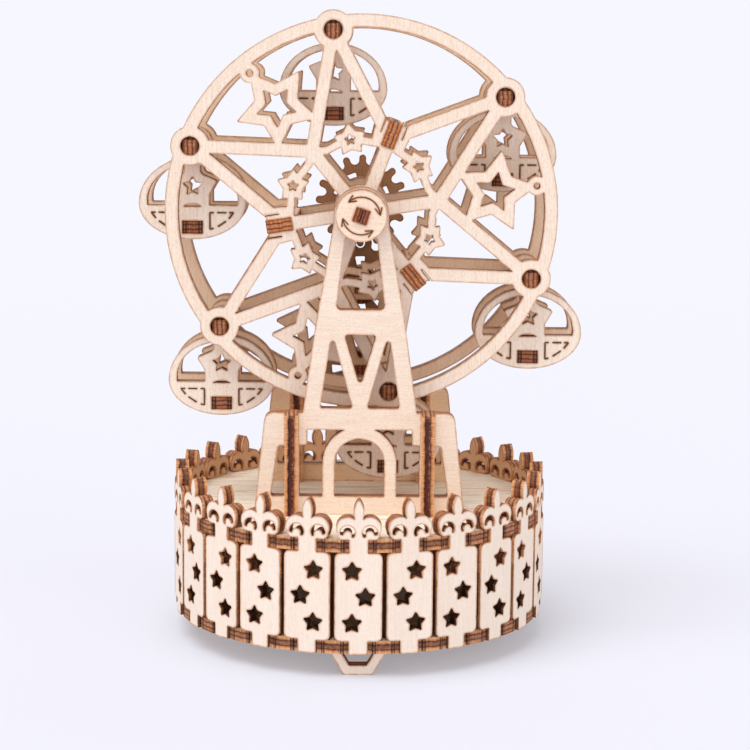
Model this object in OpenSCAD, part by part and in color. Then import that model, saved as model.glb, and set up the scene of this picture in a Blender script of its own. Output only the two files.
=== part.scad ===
/* [Sheet and rods] */
// thickness of every plywood sheet
ply = 3.5; // [2.5:0.1:5]
// width of the square wheel axle
rod_w = 3.8; // [3:0.1:5]
// angle of the square axle as seen from the front
rod_turn = -18; // [-45:1:45]
// radius of the round journals of the axles
journal_r = 2.69; // [2.2:0.01:3.6]
// radial clearance of a shaft in its bore
run_gap = 0.06; // [0.02:0.01:0.1]
// clearance between faces that turn past one another
face_gap = 0.2; // [0.1:0.05:0.5]
// clearance between the deck and a gondola at its lowest
deck_clear = 6.28; // [1:0.01:20]

/* [Base drum] */
// radius of the ring of slats, at their flat outer faces
slat_ring_r = 50.9; // [40:0.1:70]
// number of slats round the drum, in groups of three
slat_count = 24; // [24]
// half width of a slat
slat_half = 6.1; // [4:0.01:8]
// height of a slat between the two discs
slat_body_h = 23.15; // [15:0.05:35]
// corner radius of a slat
slat_corner_r = 1.5; // [0.5:0.1:3]
// half width of the neck that sits in the disc notches
neck_half = 2.41; // [1.5:0.01:4]
// inset of the disc edges from the outer faces of the slats
disc_inset = 0.5; // [0:0.1:2]
// width of the shallow step beside each neck
step_w = 1.4; // [0.5:0.1:2.5]
// depth of the shallow step beside each neck
step_d = 0.5; // [0.2:0.1:1.5]
// outer radius of the star holes in the slats
slat_star_r = 2.87; // [1.5:0.01:4]
// valley radius of a star as a share of its outer radius
slat_star_valley = 0.55; // [0.35:0.01:0.7]
// rounding of the points of the star holes
slat_star_round = 0.25; // [0.1:0.05:0.6]
// sideways offsets of the top, middle and bottom star
slat_star_x = [-1.65, 1.8, -1.6];
// heights of the top, middle and bottom star
slat_star_z = [21.8, 15.05, 8.15];
// radius of the two round lobes on top of a slat
lobe_r = 2.95; // [2:0.05:4]
// sideways offset of the lobes
lobe_x = 2.85; // [2:0.05:4]
// offset of the lower outer swelling of a lobe, and its radius
heel = [1.2, 1.4];
// radius of the crescent hole in a lobe
crescent_r = 1.94; // [1:0.01:2.5]
// drop of the crescent centre below the lobe centre
crescent_drop = 1.26; // [0:0.01:1.6]
// radius of the ball that the crescent goes round
ball_r = 1.12; // [0.5:0.01:1.5]
// drop of the ball centre below the crescent centre
ball_drop = 0.45; // [0:0.05:1]
// drop of the ends of the crescent below its centre
crescent_end_drop = 0.75; // [0:0.05:1.5]
// angle of the line through the ends of the crescent
crescent_turn = 12; // [0:1:30]
// half width of the leaf tip
leaf_half = 1.37; // [1:0.01:2.5]
// height of the leaf tip between the points of its two arcs
leaf_h = 6.8; // [4:0.1:10]
// height of the middle of the leaf tip above the deck
leaf_z = 7.05; // [5:0.05:10]
// rounding of the point of the leaf tip
leaf_tip_r = 0.45; // [0.1:0.05:0.8]

/* [Feet] */
// side of the hexagon a foot is half of
hex_side = 7.5; // [5:0.1:12]
// width of the bar of a foot
foot_bar = 2.5; // [1.5:0.1:4]
// inset of the feet from the inner faces of the slats
foot_inset = 0.2; // [0.2:0.1:10]
// number of feet
foot_count = 3; // [3]

/* [Towers] */
// depth of the inner faces of the towers from the middle
tower_y = 19.6; // [16:0.1:26]
// radius of the round head
head_r = 7.25; // [5:0.05:10]
// half width of the shoulder under the head, and its drop below the axle
shoulder = [7.35, 2.9];
// half width of the bend of the legs, and its height above the deck
knee = [12.05, 49.85];
// half width where the legs meet the wings, and its height above the deck
waist = [15.1, 28.05];
// half widths of the upper window, at its top and bottom
window_half = [4.05, 6.45];
// drop of the top of the upper window below the axle
window_drop = 5.6; // [4:0.05:9]
// height of the foot of the upper window above the deck
window_foot_z = 55.2; // [45:0.05:65]
// height of the foot of the upper window of the rear tower above the deck
rear_window_foot_z = 59.2; // [50:0.05:68]
// corner radius of the upper window
window_corner_r = 1.2; // [0.3:0.1:2]
// half width of the middle triangle at its top edge
mid_tri_half = 4.22; // [2:0.01:6]
// heights of the middle triangle above the deck, top edge and point
mid_tri_z = [48.55, 34.45];
// height of the top edge of the middle triangle of the rear tower above the deck
rear_mid_tri_top = 52.6; // [45:0.05:56]
// sideways offset of the point of a side triangle, and its height above the deck
side_tri_tip = [7.5, 49.15];
// sideways ends of the foot of a side triangle
side_tri_base = [1.93, 10.54];
// height of the foot of a side triangle above the deck
side_tri_z = 28.85; // [20:0.05:40]
// corner radius of the triangles
tri_corner_r = 0.6; // [0.1:0.1:1.5]
// height of the underside of the solid band above the deck
band_z = 23.05; // [15:0.05:30]
// half width of the doorway
door_half = 6.6; // [4:0.1:9]
// height of the centre of the doorway arch above the deck
door_arch_z = 14.05; // [8:0.05:20]
// height of the sill above the deck
sill_z = 5; // [2:0.05:10]
// outer radius of the arch round the doorway
arch_r = 9.86; // [8:0.01:12]
// half widths of the spandrel openings, upper and lower part
spandrel_half = [13.95, 15.95];
// height of the step in the spandrel openings above the deck
spandrel_step_z = 18.9; // [14:0.05:22]
// half width of the outer corner of the wings, and its height above the deck
wing_corner = [25.2, 27.65];
// half width of the wings at the deck
wing_half = 28.1; // [24:0.1:34]
// radius of the rounded wing corner
wing_corner_r = 2.5; // [1:0.1:5]
// sideways ends of a wing window at its sill
wing_win_base = [19.86, 23.66];
// sideways outer end of a wing window at its top
wing_win_top = 21.68; // [20:0.01:24]
// height of the top of a wing window above the deck
wing_win_z = 18.7; // [12:0.05:24]
// sideways ends of the inner and outer deck tabs of a tower
tower_tabs = [[4, 8.5], [21.5, 26]];
// sideways offset of the middle of a gusset
gusset_x = 18.11; // [15:0.01:22]
// depth of a gusset from front to back
gusset_d = 8.6; // [6:0.1:12]
// height of the top of a gusset above the deck
gusset_top = 27.75; // [20:0.05:35]
// corner radius of the gusset tops
gusset_corner_r = 2; // [0.5:0.1:3]

/* [Knob and washers] */
// radius of the turning knob
knob_r = 6.8; // [5:0.1:12]
// radius of the two engraved arrows
arrow_r = 4.9; // [3:0.1:6]
// start and end angles of the two arrows
arrow_angles = [[3, 133], [189, 309]];
// width of the engraved lines of the arrows
arrow_line_w = 0.28; // [0.15:0.01:0.6]
// length of the barbs of an arrow head
barb_l = 2.15; // [1:0.05:3]
// half angle between the barbs of an arrow head
barb_half = 25.5; // [15:0.5:45]
// angle that an arrow head leans towards the middle of the knob
barb_in = 10; // [0:1:30]
// width of an engraved line
line_w = 0.4; // [0.2:0.05:0.8]
// depth of an engraved line
line_d = 0.3; // [0.1:0.05:0.8]
// stand of the axle end in front of the knob
axle_proud = 0.6; // [0.2:0.1:3]
// length of the slit in the axle ends
slit_l = 3.2; // [1:0.1:3.6]
// depth of the slit in the axle ends
slit_d = 1; // [0.5:0.1:3]
// radius of the spacing washers
washer_r = 5.2; // [4:0.1:8]

/* [Wheel] */
// depth of the inner faces of the wheel plates from the middle
wheel_y = 12.6; // [10:0.1:16]
// outer radius of the rim
rim_r = 52.1; // [40:0.1:70]
// width of the rim
rim_w = 3.5; // [2:0.1:6]
// inset of the gondola pins from the outside of the rim
boss_inset = 3.53; // [2:0.01:6]
// angle of the first boss above the horizontal
boss_turn = 39.17; // [0:0.01:60]
// radius of a boss
boss_r = 5.16; // [4:0.01:7]
// radius of the hub
hub_r = 7.4; // [5:0.1:10]
// width of the straight spokes
spoke_w = 3.6; // [2:0.1:6]
// width of the slanting bars
bar_w = 3.5; // [2:0.1:6]
// radius at which the slanting bars meet
node_r = 20.8; // [16:0.1:26]
// radius and half width of a spacer pad at its inner end
pad_in = [17.6, 1.75];
// radii and half widths of a spacer pad at its two bends
pad_bends = [[18.9, 4.5], [22.3, 4.9]];
// radius and half width of a spacer pad at its blunt outer edge
pad_out = [25.2, 3.5];
// width of a spacer tenon along the spoke
tenon_w = 6.9; // [4:0.1:9]
// radius of the middle of a spacer tenon
tenon_r = 22.05; // [18:0.05:26]
// stand of the spacer tenons past the wheel plates
tenon_proud = 0.4; // [0:0.1:1]
// extra width of a spacer between the plates, towards the axle
spacer_shoulder = 1.6; // [0.5:0.1:3]
// sideways offset of the two slits in a pad
slit_x = 3; // [2.4:0.1:3.4]
// width of the slits in a pad
pad_slit_w = 0.3; // [0.2:0.05:0.6]
// radius at which the pad slits start
pad_slit_r = 21.7; // [19:0.1:24]
// radius of the middle of the small stars
small_star_ring_r = 19.45; // [16:0.01:24]
// outer radius of a small star
small_star_r = 4.6; // [3:0.01:6]
// valley radius of a small star as a share of its outer radius
small_star_valley = 0.6; // [0.4:0.01:0.8]
// rounding of the points of the stars in the wheel
star_round = 0.35; // [0.1:0.05:0.8]
// outer radius of the hole in a small star
small_hole_r = 1.56; // [0.8:0.01:2.5]
// valley radius of the star holes as a share of their outer radius
hole_valley = 0.51; // [0.4:0.01:0.7]
// width of the links beside a small star
link_w = 2.1; // [1.5:0.1:3]
// sideways offset of the root of a link from the star's middle, and its drop
link_root = [2.6, 0.5];
// sideways offset of the bend of a link from the star's middle, and its drop
link_bend = [6.6, 1.85];
// rise of the two inner points of a big star above the meeting of the bars
star_foot = 5.8; // [4:0.1:9]
// stand of the outer point of a big star past the middle of its rim tab
star_tip_past = 0.15; // [0:0.05:1]
// valley radius of a big star as a share of its outer radius
big_star_valley = 0.53; // [0.4:0.01:0.7]
// outer radius of the hole in a big star
big_hole_r = 5.4; // [3:0.1:7]
// inset of the round rim tabs from the outside of the rim
rim_tab_inset = 5.15; // [4:0.01:7]
// radius of a rim tab
rim_tab_r = 2.6; // [1.5:0.1:4]
// radius of the hole in a rim tab
rim_tab_hole_r = 0.87; // [0.4:0.01:1.5]

/* [Gondolas] */
// depth of the outer faces of the gondola sides from the middle
gondola_y = 8.5; // [6:0.1:11]
// half width of a gondola
gondola_half = 14.4; // [10:0.1:18]
// drop of the widest line of a gondola below its pin
gondola_wide_z = 15.7; // [12:0.1:20]
// rise of the arch above the widest line
arch_rise = 12.3; // [9:0.1:16]
// depth of the bowl below the widest line
bowl_drop = 9.7; // [7:0.1:13]
// radius of the eye round the pin
eye_r = 4.4; // [3:0.1:5]
// half width of the opening under the arch
open_half = 12.2; // [8:0.1:14]
// drop of the widest line of the opening below the pin
open_wide_z = 15; // [12:0.1:18]
// rise of the opening above its widest line
open_rise = 9.7; // [6:0.1:12]
// drop of the flat edge of the bowl below the pin
bowl_top_z = 16.2; // [13:0.1:20]
// half width of the column
column_half = 4.6; // [3:0.1:7]
// drop of the middle of the star on the column
column_star_z = 11.8; // [9:0.1:15]
// outer radius of the star on the column
column_star_r = 7.1; // [5:0.1:9]
// valley radius of the star on the column as a share
column_star_valley = 0.67; // [0.5:0.01:0.8]
// rounding of the points of the star on the column
column_star_round = 0.5; // [0.1:0.1:1]
// drop of the middle of the star hole
column_hole_z = 11.15; // [8:0.05:15]
// outer radius of the star hole
column_hole_r = 2.65; // [1.5:0.05:4]
// drop of the long slot below the pin
lens_z = 16.55; // [14:0.05:20]
// half length of the long slot
lens_half = 2.45; // [1:0.05:4]
// height of the long slot
lens_h = 0.75; // [0.3:0.05:1.5]
// width of the seat tenon
seat_tenon_w = 5.6; // [3:0.1:8]
// drop of the middle of the seat below the pin
seat_z = 22.1; // [18:0.1:25]
// width of the seat between the sides
seat_w = 13; // [8:0.1:16]
// drop of the top and the bottom line of the engraved panels
panel_z = [18.15, 22.65];
// sideways ends of the engraved panels
panel_x = [4.7, 11.05];
// ends of the dashes along the top line of a panel
panel_top_dash = [5.7, 6.7, 9.1, 9.9];
// ends of the dashes down the curved side of a panel
panel_side_dash = [[9.8, 19.75], [9, 20.45], [6.85, 21.9], [5.7, 22.4]];
// width of the square gondola pin
pin_w = 3.4; // [2.5:0.1:4.5]
// radius of the round ends of a gondola pin
pin_r = 2.46; // [2:0.01:3.5]
// half width between the two side flats at the end of a pin
pin_flat_half = 2; // [1.5:0.05:2.4]
// height of the top flat at the end of a pin above its middle
pin_flat_z = 1.6; // [1:0.05:2.4]
// length of the flats at the end of a pin
pin_flat_l = 1.5; // [0.5:0.1:2.5]
// recess of the pin ends in the wheel plates
pin_recess = 0.8; // [0:0.1:2]

/* [Gears at the back] */
// number of teeth of each gear
teeth = 16; // [12:1:24]
// distance between two gear axles
gear_step = 24.1; // [18:0.1:28]
// tip radius of the gears
gear_tip_r = 13.1; // [10:0.05:16]
// half width of a tooth, which is also the radius of its round tip
tooth_half = 0.975; // [0.6:0.005:1.4]
// radius at which the round valleys between the teeth have their middles
valley_ring_r = 11.65; // [9:0.05:14]
// angle of a tooth of the wheel gear from the horizontal
tooth_turn = 88.8; // [0:0.1:90]
// number of windows in a gear
window_count = 8; // [8]
// inner and outer radius of the gear windows
gear_window_r = [5.1, 8.2];
// half widths of a gear window at its inner and its outer end
gear_window_half = [0.95, 1.5];
// corner radius of the gear windows
gear_window_corner_r = 0.4; // [0.1:0.05:0.8]
// angles of the first window of the wheel gear, the middle gear and the lower gear
gear_window_turns = [22, 2, 5];

/* [Hidden] */
$fn = 64;
// overrun of every cut past the face it opens
cut = 1;
star_points = 5;
point_step = 360 / star_points;
hex_sides = 6;
foot_rise = hex_side * sin(360 / hex_sides);
foot_in_side = hex_side - foot_bar / cos(180 / hex_sides);
foot_tenon_w = hex_side - foot_in_side - 2 * face_gap;
gusset_leg = (gusset_d - ply) / 2;
disc_r = slat_ring_r - disc_inset;
foot_ring_r = slat_ring_r - ply - foot_inset;
boss_ring_r = rim_r - boss_inset;
rim_tab_ring_r = rim_r - rim_tab_inset;
star_tip_r = rim_tab_ring_r + star_tip_past;
big_star_r = (star_tip_r - node_r - star_foot) / (1 + cos(point_step / 2));
big_star_ring_r = star_tip_r - big_star_r;
deck_z = ply + slat_body_h;
deck_top = deck_z + ply;
axle_rise = deck_clear + gondola_wide_z + bowl_drop + boss_ring_r;
axle_h = deck_top + axle_rise;
slat_pitch = 360 / slat_count;
slats_in_node = 3;
bore_r = journal_r + run_gap;
tower_front_y = tower_y + ply;
tower_mid_y = tower_y + ply / 2;
knob_y = tower_front_y + face_gap;
knob_front_y = knob_y + ply;
gear_y = tower_front_y + ply;
gear_back_y = gear_y + ply;
cap_y = gear_back_y + face_gap;
axle_front_y = knob_front_y + axle_proud;
axle_back_y = gear_back_y + axle_proud;
wheel_out_y = wheel_y + ply;
boss_count = 6;
boss_step = 360 / boss_count;
node_count = 3;
node_step = 360 / node_count;
axle_z = [axle_h, axle_h - gear_step, axle_h - 2 * gear_step];
tooth_step = 360 / teeth;
valley_r = valley_ring_r * sin(tooth_step / 2) - tooth_half;
// straight pieces that curves are cut into
corner_steps = 4;
sector_steps = 12;
oval_steps = 24;
wood = [0.93, 0.82, 0.70];
dark_wood = [0.80, 0.62, 0.45];

// points of a star with one point upward
function star_pts(r, valley) = [for (i = [0 : 2 * star_points - 1])
    let (a = 90 + i * point_step / 2, q = i % 2 == 0 ? r : r * valley) [q * cos(a), q * sin(a)]];

// rounds one corner of an outline with a short arc
function corner(a, b, c, r) = let (
    u = (a - b) / norm(a - b),
    v = (c - b) / norm(c - b),
    half = acos(u * v) / 2,
    m = b + (u + v) / norm(u + v) * r / sin(half),
    p = b + u * r / tan(half) - m,
    q = b + v * r / tan(half) - m,
    start = atan2(p[1], p[0]),
    turn = (atan2(q[1], q[0]) - start + 540) % 360 - 180)
    [for (i = [0 : corner_steps]) let (t = start + turn * i / corner_steps) m + r * [cos(t), sin(t)]];

// rounds every corner of an outline
function rounded(pts, r) = let (n = len(pts))
    [for (i = [0 : n - 1]) each corner(pts[(i + n - 1) % n], pts[i], pts[(i + 1) % n], r)];

// points of an oval arc about a middle height
function oval(half, rise, z, a0, a1, steps) = [for (i = [0 : steps])
    let (a = a0 + (a1 - a0) * i / steps) [half * cos(a), z + rise * sin(a)]];

module raised() translate([0, 0, foot_rise]) children();

// stands a flat outline upright between two depths, seen from the front
module upright(y0, y1) translate([0, y1, 0]) rotate([90, 0, 0]) linear_extrude(y1 - y0) children();

module both_sides() {
    children();
    mirror([1, 0]) children();
}

module bar_2d(a, b, w) {
    d = b - a;
    translate(a) rotate(atan2(d[1], d[0])) translate([0, -w / 2]) square([norm(d), w]);
}

// outline of a bar of width w from a to c that bends at b
function bent_bar(a, b, c, w) = let (
    u = (b - a) / norm(b - a) * w / 2,
    v = (c - b) / norm(c - b) * w / 2,
    m = [-u[1], u[0]],
    n = [-v[1], v[0]],
    bend = (m + n) / (1 + m * n / (w * w / 4)))
    [a - m, b - bend, c - n, c + n, b + bend, a + m];

module ring_2d(r_out, r_in) difference() {
    circle(r_out);
    circle(r_in);
}

// base drum

module disc_2d() difference() {
    circle(disc_r);
    for (k = [0 : slat_count - 1]) rotate(k * slat_pitch) {
        translate([-neck_half, slat_ring_r - ply]) square([2 * neck_half, ply + cut]);
        translate([-neck_half - step_w, disc_r - step_d])
            square([2 * (neck_half + step_w), step_d + cut]);
    }
}

module foot_tenons(y0, h) for (s = [-1, 1])
    translate([s * (hex_side + foot_in_side) / 2 - foot_tenon_w / 2, y0, 0])
        cube([foot_tenon_w, ply, h]);

module base_disc() color(wood) raised() difference() {
    linear_extrude(ply) disc_2d();
    for (k = [0 : foot_count - 1]) rotate(k * 360 / foot_count)
        translate([0, 0, -cut]) foot_tenons(-foot_ring_r, ply + 2 * cut);
}

module tower_tab_blocks(z0, h, y0) for (tab = tower_tabs, s = [-1, 1])
    translate([min(s * tab[0], s * tab[1]), y0, z0]) cube([tab[1] - tab[0], ply, h]);

module gusset_tab_blocks(z0, h, y_mid) for (s = [-1, 1], e = [-1, 1])
    translate([s * gusset_x - ply / 2, y_mid + e * (gusset_d + ply) / 4 - gusset_leg / 2, z0])
        cube([ply, gusset_leg, h]);

module deck_disc() color(wood) raised() difference() {
    translate([0, 0, deck_z]) linear_extrude(ply) disc_2d();
    tower_tab_blocks(deck_z - cut, ply + 2 * cut, tower_y);
    tower_tab_blocks(deck_z - cut, ply + 2 * cut, -tower_front_y);
    gusset_tab_blocks(deck_z - cut, ply + 2 * cut, tower_mid_y);
    gusset_tab_blocks(deck_z - cut, ply + 2 * cut, -tower_mid_y);
}

// hole in the lobe right of a neck
module crescent_2d() difference() {
    circle(crescent_r);
    translate([0, -ball_drop]) circle(ball_r);
    rotate(crescent_turn) translate([-crescent_r - cut, -crescent_r - cut])
        square([2 * (crescent_r + cut), crescent_r + cut - crescent_end_drop]);
}

// lobe right of a neck, about the middle of its foot
module lobe_2d() {
    translate([0, lobe_r]) circle(lobe_r);
    translate([heel[0], heel[1]]) circle(heel[1]);
    square(heel);
}

module leaf_2d() {
    bend_r = (leaf_h * leaf_h / 4 + leaf_half * leaf_half) / (2 * leaf_half);
    tip_z = sqrt(pow(bend_r - leaf_tip_r, 2) - pow(bend_r - leaf_half, 2));
    touch_z = tip_z * bend_r / (bend_r - leaf_tip_r);
    intersection() {
        translate([bend_r - leaf_half, 0]) circle(bend_r);
        translate([leaf_half - bend_r, 0]) circle(bend_r);
        translate([-leaf_half, -leaf_h / 2]) square([2 * leaf_half, leaf_h / 2 + touch_z]);
    }
    translate([0, tip_z]) circle(leaf_tip_r);
}

module slat_body_2d() {
    inner = slat_half - slat_corner_r;
    translate([-slat_half, ply + slat_corner_r])
        square([2 * slat_half, slat_body_h - 2 * slat_corner_r]);
    translate([-inner, ply]) square([2 * inner, slat_body_h]);
    for (x = [-inner, inner], z = [ply + slat_corner_r, deck_z - slat_corner_r])
        translate([x, z]) circle(slat_corner_r);
}

// one slat: side is 1 or -1 and swaps the stars left for right
module slat(side) upright(-slat_ring_r, ply - slat_ring_r) difference() {
    union() {
        slat_body_2d();
        translate([-neck_half, 0]) square([2 * neck_half, deck_top + lobe_r]);
        both_sides() translate([lobe_x, deck_top]) lobe_2d();
        translate([0, deck_top + leaf_z]) leaf_2d();
    }
    for (i = [0 : len(slat_star_x) - 1]) translate([side * slat_star_x[i], slat_star_z[i]])
        polygon(rounded(star_pts(slat_star_r, slat_star_valley), slat_star_round));
    both_sides() translate([lobe_x, deck_top + lobe_r - crescent_drop]) crescent_2d();
}

module slats(group) color(wood) raised() for (i = [0 : slats_in_node - 1]) {
    k = group * slats_in_node + i;
    rotate(k * slat_pitch) slat(k % 2 == 0 ? 1 : -1);
}

// feet

module foot_2d() {
    difference() {
        intersection() {
            circle(hex_side, $fn = hex_sides);
            translate([-hex_side, -hex_side]) square([2 * hex_side, hex_side]);
        }
        circle(foot_in_side, $fn = hex_sides);
    }
}

module foot(k) color(wood) raised() rotate(k * 360 / foot_count) {
    upright(-foot_ring_r, ply - foot_ring_r) foot_2d();
    translate([0, 0, -face_gap]) foot_tenons(-foot_ring_r, ply + face_gap);
}

// towers

// stands pieces on the deck
module on_deck() raised() translate([0, 0, deck_top]) children();

module tower_outline_2d() {
    translate([0, axle_rise]) circle(head_r);
    both_sides() {
        polygon([[0, axle_rise], [head_r, axle_rise], [shoulder[0], axle_rise - shoulder[1]], knee,
            waist, [waist[0], sill_z], [0, sill_z]]);
        polygon(concat([[0, 0], [wing_half, 0]],
            corner([wing_half, 0], wing_corner, [0, wing_corner[1]], wing_corner_r),
            [[0, wing_corner[1]]]));
    }
}

module doorway_2d(r) {
    translate([0, door_arch_z]) circle(r);
    translate([-r, sill_z]) square([2 * r, door_arch_z - sill_z]);
}

// openings of a tower: the window ends at window_foot, the middle triangle at tri_top
module tower_openings_2d(window_foot, tri_top) {
    top_z = axle_rise - window_drop;
    flare = (window_half[1] - window_half[0]) / (top_z - window_foot_z);
    foot_half = window_half[0] + flare * (top_z - window_foot);
    tri_half = mid_tri_half * (tri_top - mid_tri_z[1]) / (mid_tri_z[0] - mid_tri_z[1]);
    polygon(rounded([[window_half[0], top_z], [-window_half[0], top_z],
        [-foot_half, window_foot], [foot_half, window_foot]], window_corner_r));
    polygon(rounded([[tri_half, tri_top], [-tri_half, tri_top], [0, mid_tri_z[1]]], tri_corner_r));
    doorway_2d(door_half);
    both_sides() {
        polygon(rounded([side_tri_tip, [side_tri_base[0], side_tri_z], [side_tri_base[1], side_tri_z]],
            tri_corner_r));
        difference() {
            union() {
                translate([0, sill_z]) square([spandrel_half[1], spandrel_step_z - sill_z]);
                translate([0, sill_z]) square([spandrel_half[0], band_z - sill_z]);
            }
            doorway_2d(arch_r);
        }
        polygon(rounded([[wing_win_base[0], sill_z], [wing_win_base[1], sill_z],
            [wing_win_top, wing_win_z], [wing_win_base[0], wing_win_z]], tri_corner_r));
    }
}

// slots in the upper part of a tower that the gussets drop into
module gusset_slots_2d() both_sides()
    translate([gusset_x - ply / 2, spandrel_step_z])
        square([ply, gusset_top - spandrel_step_z + cut]);

// square holes of the stub axles in the rear tower
module stub_holes_2d() for (z = [axle_z[1], axle_z[2]])
    translate([0, z - deck_top]) square(pin_w, center = true);

module tower(y0, window_foot, tri_top) color(wood) on_deck() {
    upright(y0, y0 + ply) difference() {
        tower_outline_2d();
        tower_openings_2d(window_foot, tri_top);
        gusset_slots_2d();
        translate([0, axle_rise]) circle(bore_r);
        children();
    }
    tower_tab_blocks(-ply, ply + sill_z / 2, y0);
}

module gusset_2d() difference() {
    polygon(rounded_top(gusset_d / 2, -ply, gusset_top, gusset_corner_r));
    translate([-ply / 2, -ply - cut]) square([ply, spandrel_step_z + ply + cut]);
}

// upright rectangle with only its top corners rounded
function rounded_top(half, z0, z1, r) = concat([[-half, z0], [half, z0]],
    corner([half, z0], [half, z1], [-half, z1], r), corner([half, z1], [-half, z1], [-half, z0], r));

module gusset(side, y_mid) color(wood) on_deck()
    translate([side * gusset_x - ply / 2, y_mid, 0]) rotate([90, 0, 90]) linear_extrude(ply) gusset_2d();

// wheel

module rod_2d(w) rotate(rod_turn) square(w, center = true);

module at_axle() translate([0, 0, axle_h]) children();

module pad_2d() {
    side = concat([pad_in], pad_bends, [pad_out]);
    polygon(concat([for (p = side) [p[0], -p[1]]], [for (i = [len(side) - 1 : -1 : 0]) side[i]]));
}

function at_angle(r, a) = [r * cos(a), r * sin(a)];

module small_star_at(a) translate(at_angle(small_star_ring_r, a)) rotate(a - 90) {
    polygon(rounded(star_pts(small_star_r, small_star_valley), star_round));
    for (s = [-1, 1]) {
        root = [s * link_root[0], -link_root[1]];
        bend = [s * link_bend[0], -link_bend[1]];
        far = at_angle(node_r, 90 - s * boss_step / 2) - [0, small_star_ring_r];
        polygon(bent_bar(root, bend, far, link_w));
    }
}

module wheel_solid_2d() {
    ring_2d(rim_r, rim_r - rim_w);
    circle(hub_r);
    for (k = [0 : boss_count - 1]) {
        a = boss_turn + k * boss_step;
        translate(at_angle(boss_ring_r, a)) circle(boss_r);
        for (s = [-1, 1])
            bar_2d(at_angle(node_r, a + s * boss_step / 2), at_angle(boss_ring_r, a), bar_w);
        bar_2d([0, 0], at_angle(node_r, a + boss_step / 2), spoke_w);
        translate(at_angle(node_r, a + boss_step / 2)) circle(bar_w / 2);
        small_star_at(a);
    }
    for (k = [0 : node_count - 1]) {
        rotate(boss_turn + boss_step / 2 + k * node_step) pad_2d();
        rotate(boss_turn - boss_step / 2 + k * node_step) {
            translate([big_star_ring_r, 0]) rotate(-90)
                polygon(rounded(star_pts(big_star_r, big_star_valley), star_round));
            translate([rim_tab_ring_r, 0]) circle(rim_tab_r);
        }
    }
}

module wheel_holes_2d() {
    rod_2d(rod_w);
    for (k = [0 : boss_count - 1]) {
        a = boss_turn + k * boss_step;
        translate(at_angle(boss_ring_r, a)) circle(pin_r + run_gap);
        translate(at_angle(small_star_ring_r, a)) rotate(a - 90)
            polygon(star_pts(small_hole_r, hole_valley));
    }
    for (k = [0 : node_count - 1]) {
        rotate(boss_turn + boss_step / 2 + k * node_step) {
            translate([tenon_r - tenon_w / 2, -ply / 2]) square([tenon_w + cut, ply]);
            for (s = [-1, 1]) translate([pad_slit_r, s * slit_x - pad_slit_w / 2])
                square([pad_out[0] - pad_slit_r + cut, pad_slit_w]);
        }
        rotate(boss_turn - boss_step / 2 + k * node_step) {
            translate([big_star_ring_r, 0]) rotate(-90) polygon(star_pts(big_hole_r, hole_valley));
            translate([rim_tab_ring_r, 0]) circle(rim_tab_hole_r);
        }
    }
}

module wheel_plate(y0) color(wood) raised() at_axle() upright(y0, y0 + ply) difference() {
    wheel_solid_2d();
    wheel_holes_2d();
}

module wheel_spacer(k) color(wood) raised() at_axle()
    rotate([0, -(boss_turn + boss_step / 2 + k * node_step), 0]) {
        out_y = wheel_out_y + tenon_proud;
        in_r = tenon_r - tenon_w / 2;
        translate([in_r, -out_y, -ply / 2]) cube([tenon_w, 2 * out_y, ply]);
        translate([in_r - spacer_shoulder, -wheel_y, -ply / 2])
            cube([tenon_w + spacer_shoulder, 2 * wheel_y, ply]);
    }

module journal(y0, y1) upright(y0, y1) circle(journal_r);

module slit_2d() rotate(rod_turn) square([line_w, slit_l], center = true);

module wheel_axle() color(wood) raised() at_axle() difference() {
    union() {
        upright(-axle_front_y, axle_back_y) rod_2d(rod_w);
        journal(-tower_front_y, -tower_y);
        journal(tower_y, tower_front_y);
    }
    upright(-axle_front_y - cut, slit_d - axle_front_y) slit_2d();
    upright(axle_back_y - slit_d, axle_back_y + cut) slit_2d();
}

module sector_2d(r, a0, a1) polygon(concat([[0, 0]],
    [for (i = [0 : sector_steps]) at_angle(r, a0 + (a1 - a0) * i / sector_steps)]));

// line along an arc with an open head at both ends
module arrow_2d(a0, a1) {
    intersection() {
        ring_2d(arrow_r + arrow_line_w / 2, arrow_r - arrow_line_w / 2);
        sector_2d(2 * arrow_r, a0, a1);
    }
    for (e = [[a0, 1], [a1, -1]]) translate(at_angle(arrow_r, e[0])) {
        circle(arrow_line_w / 2);
        for (s = [-1, 1])
            bar_2d([0, 0], at_angle(barb_l, e[0] + e[1] * (90 + barb_in) + s * barb_half), arrow_line_w);
    }
}

module knob() color(wood) raised() at_axle() difference() {
    upright(-knob_front_y, -knob_y) difference() {
        circle(knob_r);
        rod_2d(rod_w);
    }
    upright(-knob_front_y - cut, line_d - knob_front_y)
        for (a = arrow_angles) arrow_2d(a[0], a[1]);
}

module washer(y0, y1) color(dark_wood) raised() at_axle() upright(y0, y1) difference() {
    circle(washer_r);
    rod_2d(rod_w);
}

// gears

module gear_2d(turn) {
    tip_ring_r = gear_tip_r - tooth_half;
    difference() {
        circle(valley_ring_r * cos(tooth_step / 2));
        for (k = [0 : teeth - 1])
            translate(at_angle(valley_ring_r, turn + (k + 1 / 2) * tooth_step)) circle(valley_r);
    }
    for (k = [0 : teeth - 1]) rotate(turn + k * tooth_step) {
        translate([0, -tooth_half]) square([tip_ring_r, 2 * tooth_half]);
        translate([tip_ring_r, 0]) circle(tooth_half);
    }
}

module gear_windows_2d(a0) {
    r = gear_window_r;
    h = gear_window_half;
    for (k = [0 : window_count - 1]) rotate(a0 + k * 360 / window_count)
        polygon(rounded([[r[0], -h[0]], [r[1], -h[1]], [r[1], h[1]], [r[0], h[0]]],
            gear_window_corner_r));
}

module gear(z, turn, window_turn) color(dark_wood) raised() translate([0, 0, z])
    upright(gear_y, gear_back_y) difference() {
        gear_2d(turn);
        gear_windows_2d(window_turn);
        children();
    }

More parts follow.
